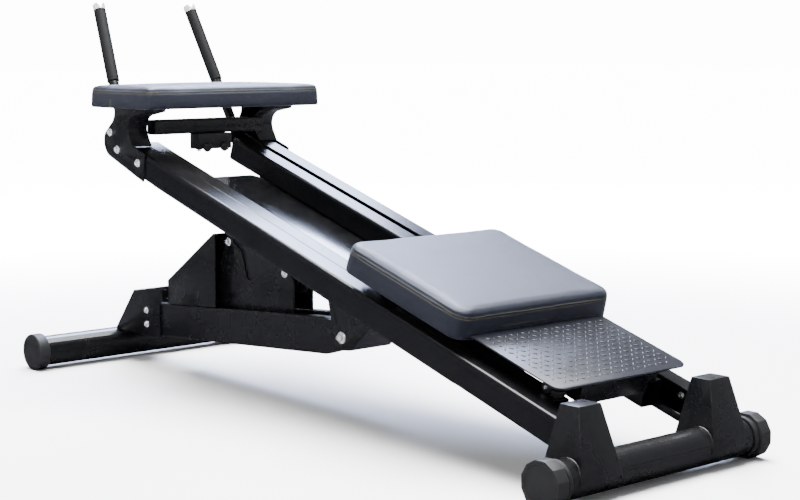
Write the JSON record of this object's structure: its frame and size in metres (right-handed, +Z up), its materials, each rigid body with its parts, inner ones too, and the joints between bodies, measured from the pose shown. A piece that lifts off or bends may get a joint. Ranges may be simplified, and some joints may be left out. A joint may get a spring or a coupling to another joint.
{
  "type": "sliding abdominal trainer",
  "caption": "Inclined rail frame with a rolling kneeling pad and foot plate, a forearm pad between upright grips, and a pivoting base that sets the incline.",
  "frame": {"origin": "on the floor, on the centre plane, halfway between the two foot tubes", "axes": "+X to the machine's right, +Y towards the high end with the forearm pad, +Z up"},
  "size_m": [0.624, 1.877, 0.9335],
  "materials": {
    "black_paint": "gloss black powder coat",
    "black_steel": "satin dark grey coat, pressed tread on the foot plate",
    "black_leather": "grained black synthetic leather with contrast stitching",
    "plywood": "raw plywood",
    "rubber": "matt dark grey",
    "nylon": "matt dark grey",
    "zinc": "bright zinc plate",
    "chrome": "polished"
  },
  "bodies": {
    "main_frame": {"rear_foot_tube": "black_paint", "rear_cap_left": "rubber", "rear_cap_right": "rubber", "belly_pan": "black_paint", "cross_tube": "black_paint", "stop_block": "black_steel", "forearm_pad": "black_leather", "forearm_board": "plywood", "pivot_bracket": "black_paint", "pivot_bolt": "zinc", "incline_hanger": "black_steel", "rail_left": "black_paint", "track_left": "black_paint", "track_tie_left": "black_paint", "low_stop_left": "rubber", "rear_bracket_left": "black_paint", "cheek_left": "black_paint", "bumper_left": "rubber", "grip_tube_left": "black_paint", "grip_left": "rubber", "grip_end_left": "chrome", "cheek_bolt_left_1": "zinc", "cheek_bolt_left_2": "zinc", "cheek_bolt_left_3": "zinc", "rail_right": "black_paint", "track_right": "black_paint", "track_tie_right": "black_paint", "low_stop_right": "rubber", "rear_bracket_right": "black_paint", "cheek_right": "black_paint", "bumper_right": "rubber", "grip_tube_right": "black_paint", "grip_right": "rubber", "grip_end_right": "chrome", "cheek_bolt_right_1": "zinc", "cheek_bolt_right_2": "zinc", "cheek_bolt_right_3": "zinc"},
    "carriage": {"carriage_tray": "black_paint", "knee_pad": "black_leather", "knee_board": "plywood", "foot_plate": "black_steel", "axle_low": "zinc", "axle_high": "zinc"},
    "base": {"front_foot_tube": "black_paint", "front_cap_left": "rubber", "front_cap_right": "rubber", "front_bracket": "black_paint", "base_beam_left": "black_paint", "base_beam_right": "black_paint", "incline_tower": "black_paint", "saddle_plate_left": "black_paint", "saddle_plate_right": "black_paint", "pivot_bush": "black_paint", "clamp_bolt_far": "zinc", "clamp_bolt_near": "zinc"},
    "roller_low_left": {"roller_low_left": "nylon"},
    "roller_low_right": {"roller_low_right": "nylon"},
    "roller_high_left": {"roller_high_left": "nylon"},
    "roller_high_right": {"roller_high_right": "nylon"}
  },
  "joints": [
    {"name": "carriage_slide", "type": "slide", "parent": "main_frame", "child": "carriage", "axis": [0, 0.9548, 0.2974], "range_m": [0, 0.764]},
    {"name": "roller_low_left_spin", "type": "hinge", "parent": "carriage", "child": "roller_low_left", "pos_m": [-0.135, -0.75277, 0.18252], "axis": [1, 0, 0], "continuous": true},
    {"name": "roller_low_right_spin", "type": "hinge", "parent": "carriage", "child": "roller_low_right", "pos_m": [0.135, -0.75277, 0.18252], "axis": [1, 0, 0], "continuous": true},
    {"name": "roller_high_left_spin", "type": "hinge", "parent": "carriage", "child": "roller_high_left", "pos_m": [-0.135, -0.28112, 0.32942], "axis": [1, 0, 0], "continuous": true},
    {"name": "roller_high_right_spin", "type": "hinge", "parent": "carriage", "child": "roller_high_right", "pos_m": [0.135, -0.28112, 0.32942], "axis": [1, 0, 0], "continuous": true},
    {"name": "base_incline", "type": "hinge", "parent": "main_frame", "child": "base", "pos_m": [0, -0.04142, 0.17522], "axis": [1, 0, 0], "range_deg": [-8, 0]}
  ],
  "couplings": [
    {"joint": "roller_low_left_spin", "follows": "carriage_slide", "rad_per_m": -81.967},
    {"joint": "roller_low_right_spin", "follows": "carriage_slide", "rad_per_m": -81.967},
    {"joint": "roller_high_left_spin", "follows": "carriage_slide", "rad_per_m": -81.967},
    {"joint": "roller_high_right_spin", "follows": "carriage_slide", "rad_per_m": -81.967}
  ]
}
